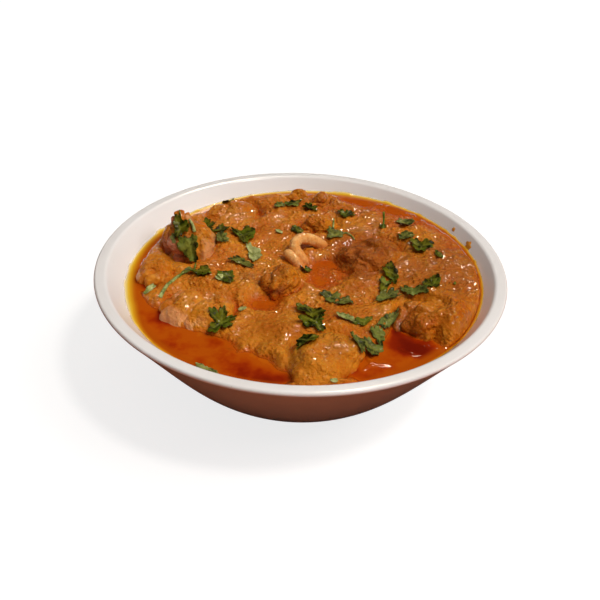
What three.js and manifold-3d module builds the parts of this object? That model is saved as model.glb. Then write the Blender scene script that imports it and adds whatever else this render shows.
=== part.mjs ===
// Mutton dahiwala: a white stoneware bowl of yoghurt curry. Pieces of mutton stand in a thick gravy,
// red oil lies in pools between them, and a curl of gristle rises near the middle.
// Millimetres, +Z up. The origin is the middle of the bowl's foot, and -Y is the front.

import * as THREE from "three";
import { mergeVertices } from "three/addons/utils/BufferGeometryUtils.js";
import Module from "manifold-3d";

const wasm = await Module();
wasm.setup();

// ---- Driving dimensions ----

const RIM_RADIUS = 95; // outside of the lip
const BOWL_HEIGHT = 60;
const WALL = 5.2; // thickness of the wall, square to it
const FOOT_RADIUS = 38; // middle of the foot ring
const FOOT_WIDTH = 4;
const FOOT_RISE = 2.5; // from the table to the belly
const LIP_LEAN = 38; // of the wall from upright where it meets the lip, in degrees
const LIP_ROUND = 1.2; // radius of the lip's outer edge
const LIP_INNER_ROUND = 2.2; // radius of its inner edge
const BOWL_SECTORS = 44;
const WALL_STEPS = 6;

const GAP = 0.3; // between pieces that touch
const FOOD_LEVEL = 52.3; // the oil's surface over the middle of the bowl
const LEVEL_RISE_X = 0.024; // the food lies a little higher to the right
const LEVEL_RISE_Y = 0.018; // and to the back
const GRAVY_RISE = 1; // the gravy's own surface stands this far above the oil
const GRAVY_RINGS = 10;
const GRAVY_SECTORS = 28;
const POOL_DEPTH = 2.6;

// Heaps of gravy: middle, spread and height, on the food's plane.
const GRAVY_HEAPS = [
  { x: -12, y: -44, spread: 9, rise: 3.6 },
  { x: -4, y: -53, spread: 8, rise: 2.6 },
  { x: 21, y: -37, spread: 13, rise: 2.6 },
  { x: 66, y: -4, spread: 17, rise: 3 },
  { x: 60, y: 22, spread: 11, rise: 1.6 },
  { x: -30, y: -2, spread: 13, rise: 2.6 },
  { x: -34, y: 26, spread: 13, rise: 2.4 },
  { x: -14, y: 60, spread: 17, rise: 2.4 },
  { x: -12, y: 30, spread: 9, rise: 1.6 },
  { x: 24, y: 58, spread: 14, rise: 1.2 },
  { x: 34, y: -12, spread: 13, rise: 1.8 },
  { x: -58, y: 48, spread: 9, rise: 2 },
];

// Mutton pieces: middle on the food's plane and height over it, half sizes, turn about the vertical
// and lean about the front edge in degrees, and how square the piece is cut. The tall one ends in a knob.
const MUTTON = [
  {
    name: "mutton_tall", at: [-55.5, 21, 1], half: [12.5, 13.5, 12.5],
    turn: 12, lean: -10, square: 2.7, seed: 3,
    knob: { at: [-59.5, 29, 11.5], half: [5.5, 5.5, 6.5] },
  },
  { name: "mutton_left", at: [-68, -2, -3], half: [9, 12, 8.5], turn: 8, lean: 6, square: 2.4, seed: 8 },
  {
    name: "mutton_big_left", at: [-45, -29, -2], half: [16, 15.5, 11],
    turn: -24, lean: 8, square: 2.6, seed: 5,
  },
  { name: "mutton_centre", at: [-9.5, -9, 0], half: [9, 8, 8.5], turn: 20, lean: 14, square: 2.7, seed: 12 },
  {
    name: "mutton_front", at: [9, -65, -1.5], half: [16.5, 14.5, 10.5],
    turn: 10, lean: 10, square: 2.4, seed: 21,
  },
  {
    name: "mutton_right_front", at: [52.5, -36, -1.5], half: [13, 12.5, 10.5],
    turn: -24, lean: 8, square: 2.5, seed: 31,
  },
  {
    name: "mutton_right_back", at: [32, 17, -3], half: [16.5, 16, 10.5],
    turn: 16, lean: -4, square: 2.7, seed: 17,
  },
  {
    name: "mutton_back_left", at: [-37, 56, -4], half: [15, 12.5, 10],
    turn: 28, lean: 0, square: 2.6, seed: 43,
  },
  {
    name: "mutton_back_middle", at: [9, 46, -1.5], half: [10, 6.5, 7],
    turn: -12, lean: 12, square: 2.5, seed: 27,
  },
  {
    name: "mutton_back_edge_left", at: [-4, 75.5, 0], half: [6.5, 5, 6.5],
    turn: 24, lean: 0, square: 2.8, seed: 9,
  },
  {
    name: "mutton_back_edge_right", at: [9, 71, 0], half: [5, 6.5, 6],
    turn: -16, lean: 0, square: 2.8, seed: 14,
  },
];
const FACE_SIZE = 5.8; // of the mutton, about

// Pools of red oil, as outlines on the food's plane. Those at the wall run past it and are cut by it.
const POOLS = [
  {
    name: "oil_front_left",
    outline: [
      [-60, 62], [-66, 50], [-72, 34], [-76, 16], [-78, 2], [-74, -16], [-66, -28], [-60, -40], [-50, -47],
      [-38, -48], [-26, -53], [-14, -61], [-8, -66], [-6, -76], [-6, -92], [-50, -84], [-84, -50], [-94, 0],
      [-84, 44], [-68, 66],
    ],
  },
  {
    name: "oil_front_right",
    outline: [
      [27, -58], [33, -54], [38, -47], [42, -40], [58, -50], [70, -62], [56, -80], [27, -92], [25, -74],
    ],
  },
  {
    name: "oil_back_right",
    outline: [
      [82, 18], [76, 33], [66, 44], [54, 53], [42, 61], [30, 67], [18, 76], [18, 92], [50, 84], [94, 40],
    ],
  },
  {
    name: "oil_middle",
    outline: [[3, 6], [5, 12], [10, 16], [15, 14], [19, 8], [22, 1], [20, -6], [13, -10], [6, -9], [3, -2]],
  },
  {
    name: "oil_middle_left",
    outline: [[-24, -13], [-20, -19], [-12, -20], [-8, -24], [-14, -29], [-22, -26]],
  },
];
const POOL_POINTS = 26;

// The gristle: strips with a centre line over the food's plane.
const STRIPS = [
  {
    name: "gristle_curl",
    radius: 2.2,
    line: [
      [12, 26.5, -1], [8, 26.5, 2.5], [4, 24.5, 5.5], [0, 23.3, 7], [-3.1, 20.7, 6.8], [-3.7, 17.3, 5.2],
      [-1.2, 13.7, 3], [2.5, 12, -1],
    ],
  },
  {
    name: "gristle_tip",
    radius: 1.8,
    line: [[-7.5, 15, 4], [-4.5, 11.5, 3.2], [-1.5, 8.5, 1.5], [1, 6, -1.5]],
  },
];

// ---- Solids ----

// A closed three.js geometry as a solid that can be cut and joined.
function solidOf(geometry) {
  const bare = new THREE.BufferGeometry();
  bare.setAttribute("position", geometry.getAttribute("position"));
  if (geometry.index) bare.setIndex(geometry.index);
  const merged = mergeVertices(bare, 1e-4);
  const corners = merged.index.array;
  const kept = [];
  for (let i = 0; i < corners.length; i += 3) {
    const [a, b, c] = corners.subarray(i, i + 3);
    if (a !== b && b !== c && c !== a) kept.push(a, b, c);
  }
  return new wasm.Manifold(
    new wasm.Mesh({
      numProp: 3,
      vertProperties: merged.attributes.position.array,
      triVerts: new Uint32Array(kept),
    }),
  );
}

// The solid as a mesh of the scene graph.
function meshOf(name, solid, material) {
  const { vertProperties, triVerts } = solid.getMesh();
  const geometry = new THREE.BufferGeometry();
  geometry.setAttribute("position", new THREE.BufferAttribute(vertProperties, 3));
  geometry.setIndex(new THREE.BufferAttribute(triVerts, 1));
  geometry.computeVertexNormals();
  const mesh = new THREE.Mesh(geometry, material);
  mesh.name = name;
  return mesh;
}

// A small repeatable random sequence, from 0 to 1.
function seededRandom(seed) {
  let state = seed * 7919 + 17;
  return () => {
    state = (state * 16807) % 2147483647;
    return state / 2147483647;
  };
}

// Moves a geometry from the food's flat plane to where the food lies in the bowl.
function layInBowl(geometry) {
  const lie = new THREE.Matrix4().set(
    1, 0, 0, 0,
    0, 1, 0, 0,
    LEVEL_RISE_X, LEVEL_RISE_Y, 1, FOOD_LEVEL,
    0, 0, 0, 1,
  );
  return geometry.applyMatrix4(lie);
}

// ---- The bowl ----

const lean = THREE.MathUtils.degToRad(LIP_LEAN);
const upTheWall = new THREE.Vector2(Math.sin(lean), Math.cos(lean)); // at the lip
const outOfTheWall = new THREE.Vector2(Math.cos(lean), -Math.sin(lean));
const outerRound = new THREE.Vector2(RIM_RADIUS - LIP_ROUND, BOWL_HEIGHT - LIP_ROUND);
const wallEnd = outerRound.clone().addScaledVector(outOfTheWall, LIP_ROUND);

// The outside of the wall, from the foot to the lip.
const outerWall = new THREE.CubicBezierCurve(
  new THREE.Vector2(FOOT_RADIUS + FOOT_WIDTH / 2, FOOT_RISE),
  new THREE.Vector2(60, 7.5),
  wallEnd.clone().addScaledVector(upTheWall, -37),
  wallEnd,
);

// The point of the wall's inside, shifted by more than the wall's thickness for a clearance.
function innerWallPoint(share, clearance = 0) {
  const outside = outerWall.getPoint(share);
  const along = outerWall.getTangent(share);
  const inward = new THREE.Vector2(-along.y, along.x);
  return outside.addScaledVector(inward, WALL + clearance);
}

function arcPoints(middle, radius, fromDegrees, toDegrees, steps) {
  const points = [];
  for (let i = 0; i <= steps; i++) {
    const angle = THREE.MathUtils.degToRad(fromDegrees + ((toDegrees - fromDegrees) * i) / steps);
    points.push(new THREE.Vector2(middle.x + radius * Math.cos(angle), middle.y + radius * Math.sin(angle)));
  }
  return points;
}

// The middle of the lip's inner rounding, which touches the wall's inside and the level of the rim.
function innerRound() {
  const middle = wallEnd.clone().addScaledVector(outOfTheWall, LIP_INNER_ROUND - WALL);
  const drop = middle.y + LIP_INNER_ROUND - BOWL_HEIGHT;
  return middle.addScaledVector(upTheWall, -drop / upTheWall.y);
}

function bowlProfile() {
  const footInside = FOOT_RADIUS - FOOT_WIDTH / 2;
  const footOutside = FOOT_RADIUS + FOOT_WIDTH / 2;
  const points = [
    new THREE.Vector2(0, FOOT_RISE),
    new THREE.Vector2(footInside - 1, FOOT_RISE),
    new THREE.Vector2(footInside, 0),
    new THREE.Vector2(footOutside - 1, 0),
  ];
  points.push(...outerWall.getPoints(WALL_STEPS));
  points.push(...arcPoints(outerRound, LIP_ROUND, -LIP_LEAN, 90, 3).slice(1));
  points.push(...arcPoints(innerRound(), LIP_INNER_ROUND, 90, 180 - LIP_LEAN, 2));
  for (let i = WALL_STEPS - 1; i >= 0; i--) points.push(innerWallPoint(i / WALL_STEPS));
  points.push(new THREE.Vector2(0, innerWallPoint(0).y));
  return points;
}

// The solid that a closed profile sweeps about the vertical.
function turned(profile) {
  return solidOf(new THREE.LatheGeometry(profile, BOWL_SECTORS).rotateX(Math.PI / 2));
}

// The space inside the bowl, kept a gap away from its wall, and open far above the rim.
function cavitySolid() {
  const above = BOWL_HEIGHT + 40;
  const points = [new THREE.Vector2(0, innerWallPoint(0).y + GAP)];
  for (let i = 0; i <= WALL_STEPS; i++) points.push(innerWallPoint(i / WALL_STEPS, GAP));
  points.push(new THREE.Vector2(points.at(-1).x, above), new THREE.Vector2(0, above));
  return turned(points);
}

// ---- Mutton ----

// A rounded, uneven block of meat. grow makes it larger all round.
function muttonGeometry({ at, half, turn, lean, square, seed }, grow = 0) {
  const random = seededRandom(seed);
  const lumps = [];
  for (let i = 0; i < 5; i++) {
    const facing = new THREE.Vector3(random() - 0.5, random() - 0.5, random() - 0.5).normalize();
    lumps.push({ facing, rate: 2.2 + 1.8 * random(), phase: 6.28 * random(), depth: 0.05 + 0.03 * random() });
  }
  const geometry = new THREE.IcosahedronGeometry(1, Math.round(Math.max(...half) / FACE_SIZE));
  const position = geometry.getAttribute("position");
  const corner = new THREE.Vector3();
  for (let i = 0; i < position.count; i++) {
    corner.fromBufferAttribute(position, i).normalize();
    const spread = Math.abs(corner.x) ** square + Math.abs(corner.y) ** square + Math.abs(corner.z) ** square;
    let reach = spread ** (-1 / square);
    for (const { facing, rate, phase, depth } of lumps) {
      reach += depth * Math.sin(rate * corner.dot(facing) + phase);
    }
    position.setXYZ(
      i,
      corner.x * (reach * half[0] + grow),
      corner.y * (reach * half[1] + grow),
      corner.z * (reach * half[2] + grow),
    );
  }
  geometry.rotateX(THREE.MathUtils.degToRad(lean));
  geometry.rotateZ(THREE.MathUtils.degToRad(turn));
  geometry.translate(...at);
  return layInBowl(geometry);
}

function muttonSolid(piece, grow = 0) {
  const block = solidOf(muttonGeometry(piece, grow));
  return piece.knob ? block.add(solidOf(muttonGeometry({ ...piece, ...piece.knob }, grow))) : block;
}

// ---- Gristle ----

// A round strip that follows a line, with rounded ends. grow makes it thicker and longer.
function stripGeometry({ line, radius }, grow = 0) {
  const curve = new THREE.CatmullRomCurve3(line.map((point) => new THREE.Vector3(...point)));
  const length = curve.getLength();
  const steps = Math.round(length / 4);
  const geometry = new THREE.CapsuleGeometry(radius + grow, length - 2 * radius, 2, 6, steps);
  const position = geometry.getAttribute("position");
  const up = new THREE.Vector3(0, 0, 1);
  const side = new THREE.Vector3();
  const over = new THREE.Vector3();
  for (let i = 0; i < position.count; i++) {
    const share = position.getY(i) / length + 0.5;
    const held = THREE.MathUtils.clamp(share, 0, 1);
    const along = curve.getTangentAt(held);
    side.crossVectors(along, up).normalize();
    over.crossVectors(along, side);
    const place = curve.getPointAt(held).addScaledVector(along, (share - held) * length);
    place.addScaledVector(over, position.getX(i));
    place.addScaledVector(side, position.getZ(i));
    position.setXYZ(i, place.x, place.y, place.z);
  }
  return layInBowl(geometry);
}

// ---- Oil pools ----

// The outline as a smooth closed line, pushed outwards by grow.
function poolOutline(outline, grow) {
  const curve = new THREE.CatmullRomCurve3(outline.map(([x, y]) => new THREE.Vector3(x, y, 0)), true);
  const points = curve.getPoints(POOL_POINTS).slice(0, POOL_POINTS);
  const flat = points.map(({ x, y }) => new THREE.Vector2(x, y));
  if (THREE.ShapeUtils.isClockWise(flat)) flat.reverse();
  return flat.map((point, i) => {
    const before = flat.at(i - 1);
    const after = flat[(i + 1) % flat.length];
    const outward = new THREE.Vector2(after.y - before.y, before.x - after.x).normalize();
    return point.clone().addScaledVector(outward, grow);
  });
}

function poolSolid({ outline }, grow = 0, above = 0) {
  const shape = new THREE.Shape(poolOutline(outline, grow));
  const depth = POOL_DEPTH + grow + above;
  const geometry = new THREE.ExtrudeGeometry(shape, { depth, bevelEnabled: false });
  geometry.translate(0, 0, -POOL_DEPTH - grow);
  return solidOf(layInBowl(geometry));
}

// ---- Gravy ----

function gravyHeight(x, y) {
  let height = GRAVY_RISE;
  for (const heap of GRAVY_HEAPS) {
    const away = Math.hypot(x - heap.x, y - heap.y) / heap.spread;
    height += heap.rise * Math.exp(-away * away);
  }
  return height;
}

// A round block as wide as the bowl whose top is the gravy's heaped surface.
function gravyBlock() {
  const corners = [0, 0, gravyHeight(0, 0)];
  for (let i = 1; i <= GRAVY_RINGS; i++) {
    for (let j = 0; j < GRAVY_SECTORS; j++) {
      const angle = (2 * Math.PI * j) / GRAVY_SECTORS;
      const x = ((RIM_RADIUS * i) / GRAVY_RINGS) * Math.cos(angle);
      const y = ((RIM_RADIUS * i) / GRAVY_RINGS) * Math.sin(angle);
      corners.push(x, y, gravyHeight(x, y));
    }
  }
  const lastRing = corners.length / 3 - GRAVY_SECTORS;
  for (let j = 0; j < GRAVY_SECTORS; j++) {
    corners.push(corners[3 * (lastRing + j)], corners[3 * (lastRing + j) + 1], -BOWL_HEIGHT);
  }
  corners.push(0, 0, -BOWL_HEIGHT);
  const bottom = corners.length / 3 - 1;
  const at = (ring, j) => 1 + (ring - 1) * GRAVY_SECTORS + (j % GRAVY_SECTORS);
  const faces = [];
  for (let j = 0; j < GRAVY_SECTORS; j++) {
    faces.push(0, at(1, j), at(1, j + 1));
    for (let i = 1; i <= GRAVY_RINGS; i++) {
      faces.push(at(i, j), at(i + 1, j), at(i + 1, j + 1));
      faces.push(at(i, j), at(i + 1, j + 1), at(i, j + 1));
    }
    faces.push(bottom, at(GRAVY_RINGS + 1, j + 1), at(GRAVY_RINGS + 1, j));
  }
  const geometry = new THREE.BufferGeometry();
  geometry.setAttribute("position", new THREE.Float32BufferAttribute(corners, 3));
  geometry.setIndex(faces);
  return solidOf(layInBowl(geometry));
}

// ---- Materials ----

function finish(colour, roughness, metalness = 0) {
  return new THREE.MeshStandardMaterial({ color: new THREE.Color(colour), roughness, metalness });
}

const stoneware = finish("#efe9e0", 0.18);
const meat = finish("#8a5228", 0.42);
const sauce = finish("#b4692a", 0.38);
const oil = finish("#9c3606", 0.1);
const gristle = finish("#d8984e", 0.4);

// ---- Assembly ----

const dish = new THREE.Group();
dish.name = "mutton_dahiwala";
dish.add(meshOf("bowl", turned(bowlProfile()), stoneware));

const cavity = cavitySolid();
const cutters = []; // each piece made larger by the gap, which the pieces after it are cut round

function addPiece(name, solid, material) {
  let kept = solid.intersect(cavity);
  for (const cutter of cutters) kept = kept.subtract(cutter);
  dish.add(meshOf(name, kept, material));
}

for (const piece of MUTTON) {
  addPiece(piece.name, muttonSolid(piece), meat);
  cutters.push(muttonSolid(piece, GAP));
}

for (const strip of STRIPS) {
  addPiece(strip.name, solidOf(stripGeometry(strip)), gristle);
  cutters.push(solidOf(stripGeometry(strip, GAP)));
}

for (const pool of POOLS) addPiece(pool.name, poolSolid(pool), oil);
for (const pool of POOLS) cutters.push(poolSolid(pool, GAP, BOWL_HEIGHT));

addPiece("gravy", gravyBlock(), sauce);

export default dish;
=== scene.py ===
"""A white stoneware bowl of mutton dahiwala: meat in a thick yoghurt gravy, with red oil and coriander.

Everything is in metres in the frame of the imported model. -Y is the front of the bowl.
"""

import itertools
import math

import bmesh
import bpy
import numpy as np
from mathutils import Matrix, Vector
from mathutils.bvhtree import BVHTree


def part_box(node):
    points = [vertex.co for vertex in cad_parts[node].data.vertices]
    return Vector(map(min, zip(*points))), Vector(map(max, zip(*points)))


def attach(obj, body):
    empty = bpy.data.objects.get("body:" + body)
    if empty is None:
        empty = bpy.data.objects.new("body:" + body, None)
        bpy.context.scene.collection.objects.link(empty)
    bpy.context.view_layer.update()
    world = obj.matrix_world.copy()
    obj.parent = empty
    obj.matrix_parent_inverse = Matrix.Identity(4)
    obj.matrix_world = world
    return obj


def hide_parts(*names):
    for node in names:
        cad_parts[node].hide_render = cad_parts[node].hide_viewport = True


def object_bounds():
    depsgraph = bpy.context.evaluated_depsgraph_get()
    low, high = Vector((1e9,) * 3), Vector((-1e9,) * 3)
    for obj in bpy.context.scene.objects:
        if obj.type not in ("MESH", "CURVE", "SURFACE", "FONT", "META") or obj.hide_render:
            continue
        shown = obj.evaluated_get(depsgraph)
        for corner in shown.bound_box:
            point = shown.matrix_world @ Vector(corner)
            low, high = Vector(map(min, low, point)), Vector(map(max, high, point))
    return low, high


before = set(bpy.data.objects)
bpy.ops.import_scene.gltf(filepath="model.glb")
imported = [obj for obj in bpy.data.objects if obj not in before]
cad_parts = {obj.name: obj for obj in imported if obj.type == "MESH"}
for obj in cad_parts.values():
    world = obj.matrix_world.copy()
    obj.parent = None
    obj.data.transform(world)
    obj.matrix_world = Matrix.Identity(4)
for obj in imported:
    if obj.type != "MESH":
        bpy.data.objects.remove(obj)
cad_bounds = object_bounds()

MM = 0.001
scene = bpy.context.scene

# ---- Sizes ----

RIM_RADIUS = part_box("bowl")[1].x
BOWL_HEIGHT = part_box("bowl")[1].z
WALL = 5.2 * MM
FOOT_INSIDE = 36 * MM
FOOT_OUTSIDE = 40 * MM
FOOT_RISE = 2.5 * MM
BELLY_PULL = (60 * MM, 7.5 * MM)  # radius and height of the curve's first handle, by the foot
WALL_PULL = 37 * MM  # how far down the wall from its end the second handle lies
LIP_LEAN = math.radians(38)
LIP_ROUND = 1.2 * MM
LIP_INNER_ROUND = 2.2 * MM

FOOD_LEVEL = 52.3 * MM  # the oil's surface over the middle of the bowl
LEVEL_RISE_X = 0.024
LEVEL_RISE_Y = 0.018
BOWL_SECTORS = 192
WALL_STEPS = 48
INTO_WALL = 0.7 * MM  # how far sauce and oil reach into the wall, so that no gap shows

CELL = 0.5 * MM  # spacing of the height fields
FIELD_REACH = 87 * MM

MUTTON = [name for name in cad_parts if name.startswith("mutton")]
POOLS = [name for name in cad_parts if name.startswith("oil")]


# ---- Meshes ----


def piece_of(name, points, faces, material, stands_for=()):
    """A mesh piece of the model, riding on its one body."""
    mesh = bpy.data.meshes.new(name)
    mesh.from_pydata(np.asarray(points).tolist(), [], [list(face) for face in faces])
    mesh.update()
    mesh.shade_smooth()
    mesh.materials.append(material)
    piece = bpy.data.objects.new(name, mesh)
    scene.collection.objects.link(piece)
    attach(piece, "root")
    if stands_for:
        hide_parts(*stands_for)
    return piece


def keep_value(piece, name, values):
    """Stores one number for each corner of a piece, which its material reads."""
    layer = piece.data.attributes.new(name, "FLOAT", "POINT")
    layer.data.foreach_set("value", np.asarray(values, dtype=np.float32))


def corners_of(mesh):
    points = np.empty(len(mesh.vertices) * 3)
    mesh.vertices.foreach_get("co", points)
    return points.reshape(-1, 3)


def normals_of(mesh):
    normals = np.empty(len(mesh.vertices) * 3)
    mesh.vertices.foreach_get("normal", normals)
    return normals.reshape(-1, 3)


def set_corners(mesh, points):
    mesh.vertices.foreach_set("co", np.asarray(points).ravel())
    mesh.update()


def tree_of(pieces):
    """One search tree over the faces of several pieces."""
    points, faces = [], []
    for piece in pieces:
        first = len(points)
        points += [corner.co.copy() for corner in piece.data.vertices]
        faces += [[first + i for i in face.vertices] for face in piece.data.polygons]
    return BVHTree.FromPolygons(points, faces)


def ring_faces(rings, sectors):
    """Quads between neighbouring closed rings of points."""
    faces = []
    for ring in range(rings - 1):
        for i in range(sectors):
            after = (i + 1) % sectors
            low, high = ring * sectors, (ring + 1) * sectors
            faces.append((low + i, low + after, high + after, high + i))
    return faces


# ---- Noise ----

LATTICE = 48
NOISE_TURN = np.array(Matrix.Rotation(math.radians(38), 3, Vector((1, 2, 3)).normalized()))


class Noise:
    """Smooth noise over space, from about -1 to 1 and the same on every run."""

    def __init__(self, seed):
        slopes = np.random.default_rng(seed).normal(size=(LATTICE,) * 3 + (3,))
        self.slopes = slopes / np.linalg.norm(slopes, axis=-1, keepdims=True)

    def __call__(self, points, size, octaves=1):
        places = np.asarray(points) / size
        total, strength, reach = 0.0, 1.0, 0.0
        for _ in range(octaves):
            places = places @ NOISE_TURN
            total = total + strength * self.at(places)
            reach += strength
            strength *= 0.5
            places = places * 2.03
        return 1.5 * total / reach

    def at(self, places):
        low = np.floor(places).astype(int)
        part = places - low
        ease = part * part * part * (part * (6 * part - 15) + 10)
        total = np.zeros(len(places))
        for corner in itertools.product((0, 1), repeat=3):
            slope = self.slopes[tuple(((low + corner) % LATTICE).T)]
            weight = np.prod(np.where(corner, ease, 1 - ease), axis=1)
            total += weight * np.sum(slope * (part - corner), axis=1)
        return total


def smoothstep(values, start, end):
    share = np.clip((values - start) / (end - start), 0, 1)
    return share * share * (3 - 2 * share)


class Curds:
    """Rounded curds packed together: up to 1 on a curd's crown and 0 in the creases between curds."""

    def __init__(self, seed):
        random = np.random.default_rng(seed)
        self.middle = random.random((LATTICE,) * 3 + (3,))
        self.crown = random.uniform(0.35, 1.0, (LATTICE,) * 3)

    def __call__(self, points, size):
        places = np.asarray(points) @ NOISE_TURN / size
        home = np.floor(places).astype(int)
        nearest = np.full(len(places), 9.0)
        second = nearest.copy()
        crown = np.zeros(len(places))
        for step in itertools.product((-1, 0, 1), repeat=3):
            cell = home + step
            index = tuple((cell % LATTICE).T)
            away = np.linalg.norm(cell + self.middle[index] - places, axis=1)
            closer = away < nearest
            second = np.where(closer, nearest, np.minimum(second, away))
            crown = np.where(closer, self.crown[index], crown)
            nearest = np.where(closer, away, nearest)
        return crown * smoothstep(second - nearest, 0.0, 0.5)


lumps = Noise(11)
clots = Noise(12)
grain = Noise(13)
patches = Noise(14)
fibres = Noise(15)
curds = Curds(16)


def curdled(points):
    """How far the curdled gravy stands up: near 0 in its creases, about 0.5 mostly, and 1 on its curds."""
    soft = 0.4 * lumps(points, 7 * MM) + 0.7 * clots(points, 3.4 * MM, 3)
    warp = np.stack([lumps(points + shift * MM, 6 * MM) for shift in (0, 31, 67)], axis=1)
    cells = curds(points + 1.5 * MM * warp, 3.0 * MM)
    gritty = 0.35 + 0.65 * smoothstep(patches(points, 15 * MM), -0.25, 0.3)
    grains = smoothstep(grain(points, 2.0 * MM), -0.1, 0.5)
    return np.clip(0.42 + 0.5 * soft + 0.16 * (cells - 0.4) + 0.38 * gritty * (grains - 0.3), 0, 1.3)


# ---- Height fields over the bowl ----

field_axis = np.arange(-FIELD_REACH, FIELD_REACH + CELL / 2, CELL)
field_x, field_y = np.meshgrid(field_axis, field_axis)
field_radius = np.hypot(field_x, field_y)


def level_at(x, y):
    """Height of the oil's surface, or where it would be."""
    return FOOD_LEVEL + LEVEL_RISE_X * x + LEVEL_RISE_Y * y


field_level = level_at(field_x, field_y)


def away_from(x, y, middle_x, middle_y, reach):
    """How far places are from a middle, as a share of a reach. Middle and reach are in millimetres."""
    return np.hypot(x - middle_x * MM, y - middle_y * MM) / (reach * MM)


def field_points(heights):
    return np.stack([field_x.ravel(), field_y.ravel(), heights.ravel()], axis=1)


def field_noise(noise, size, octaves=1):
    return noise(field_points(field_level), size, octaves).reshape(field_x.shape)


def blur(field, radius):
    """A field averaged over the places round each of its own."""
    reach = math.ceil(3 * radius / CELL)
    steps = np.arange(-reach, reach + 1)
    weights = np.exp(-0.5 * (steps * CELL / radius) ** 2)
    weights /= weights.sum()
    for axis in (0, 1):
        size = field.shape[axis]
        margins = [(0, 0), (0, 0)]
        margins[axis] = (reach, reach)
        padded = np.pad(field, margins, mode="edge")
        field = sum(w * padded.take(range(k, k + size), axis=axis) for k, w in enumerate(weights))
    return field


def sample(field, x, y):
    """The field's value at any points, between its own."""
    column = np.clip((x + FIELD_REACH) / CELL, 0, len(field_axis) - 1.001)
    row = np.clip((y + FIELD_REACH) / CELL, 0, len(field_axis) - 1.001)
    c, r = column.astype(int), row.astype(int)
    u, v = column - c, row - r
    near = field[r, c] * (1 - u) + field[r, c + 1] * u
    far = field[r + 1, c] * (1 - u) + field[r + 1, c + 1] * u
    return near * (1 - v) + far * v


def heights_under(tree, missing):
    """The first surface met from above, all over the bowl."""
    down = Vector((0, 0, -1))
    found = np.full(field_x.size, missing)
    inside = np.flatnonzero(field_radius.ravel() < FIELD_REACH)
    for i in inside:
        hit = tree.ray_cast(Vector((field_x.flat[i], field_y.flat[i], 0.1)), down)[0]
        if hit:
            found[i] = hit.z
    return found.reshape(field_x.shape)


def places_of(nodes):
    """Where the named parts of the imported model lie, seen from above."""
    return heights_under(tree_of([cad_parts[node] for node in nodes]), 0.0) > 0


# ---- Shader nodes ----


def shade(red, green, blue, alpha=1.0):
    """A colour given as it looks, from 0 to 255, as the amounts of light that shaders take."""
    looks = np.array([red, green, blue]) / 255
    light = np.where(looks <= 0.04045, looks / 12.92, ((looks + 0.055) / 1.055) ** 2.4)
    return (*light, alpha)


class Nodes:
    """Adds nodes to a tree. Each call sets a node's values and links its inputs."""

    def __init__(self, tree):
        self.tree = tree

    def add(self, kind, inputs=None, **settings):
        node = self.tree.nodes.new(kind)
        for name, value in settings.items():
            setattr(node, name, value)
        for name, value in (inputs or {}).items():
            if isinstance(value, bpy.types.NodeSocket):
                self.tree.links.new(value, node.inputs[name])
            else:
                node.inputs[name].default_value = value
        return node

    def math(self, operation, a, b=0.0, c=0.0):
        return self.add("ShaderNodeMath", {0: a, 1: b, 2: c}, operation=operation).outputs[0]

    def noise(self, place, scale, detail=2.0, roughness=0.5):
        values = {"Vector": place, "Scale": scale, "Detail": detail, "Roughness": roughness}
        return self.add("ShaderNodeTexNoise", values).outputs["Fac"]

    def span(self, value, low, high, to_low=0.0, to_high=1.0):
        values = {"Value": value, "From Min": low, "From Max": high, "To Min": to_low, "To Max": to_high}
        return self.add("ShaderNodeMapRange", values, interpolation_type="SMOOTHSTEP").outputs["Result"]

    def mix(self, factor, a, b, blend="MIX"):
        node = self.add("ShaderNodeMix", data_type="RGBA", blend_type=blend)
        for socket, value in zip((node.inputs[0], node.inputs[6], node.inputs[7]), (factor, a, b)):
            if isinstance(value, bpy.types.NodeSocket):
                self.tree.links.new(value, socket)
            else:
                socket.default_value = value
        return node.outputs[2]

    def ramp(self, value, stops):
        node = self.add("ShaderNodeValToRGB", {"Fac": value})
        marks = node.color_ramp.elements
        while len(marks) < len(stops):
            marks.new(1.0)
        for mark, (position, colour) in zip(marks, stops):
            mark.position = position
            mark.color = colour
        return node.outputs["Color"]

    def attribute(self, name):
        return self.add("ShaderNodeAttribute", attribute_name=name).outputs["Fac"]

    def place(self):
        return self.add("ShaderNodeTexCoord").outputs["Object"]

    def bump(self, height, distance, strength=1.0):
        values = {"Height": height, "Distance": distance, "Strength": strength}
        return self.add("ShaderNodeBump", values).outputs["Normal"]


def new_group(name, inputs, outputs):
    """An empty node group. Returns its tree, nodes, input sockets and output node."""
    tree = bpy.data.node_groups.new(name, "ShaderNodeTree")
    for label, kind in inputs.items():
        tree.interface.new_socket(label, in_out="INPUT", socket_type=kind)
    for label, kind in outputs.items():
        tree.interface.new_socket(label, in_out="OUTPUT", socket_type=kind)
    nodes = Nodes(tree)
    entry = nodes.add("NodeGroupInput").outputs if inputs else None
    return tree, nodes, entry, nodes.add("NodeGroupOutput")


def use_group(nodes, tree, inputs=None):
    node = nodes.add("ShaderNodeGroup", node_tree=tree)
    for name, value in (inputs or {}).items():
        if isinstance(value, bpy.types.NodeSocket):
            nodes.tree.links.new(value, node.inputs[name])
        else:
            node.inputs[name].default_value = value
    return node.outputs


def new_material(name, **constants):
    """A material with one Principled shader. Returns it, its nodes and the shader."""
    material = bpy.data.materials.new(name)
    material.use_nodes = True
    shader = material.node_tree.nodes["Principled BSDF"]
    for label, value in constants.items():
        shader.inputs[label.replace("_", " ")].default_value = value
    return material, Nodes(material.node_tree), shader


def feed(nodes, shader, **links):
    for label, socket in links.items():
        nodes.tree.links.new(socket, shader.inputs[label.replace("_", " ")])


FLOAT, COLOUR = "NodeSocketFloat", "NodeSocketColor"

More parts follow.
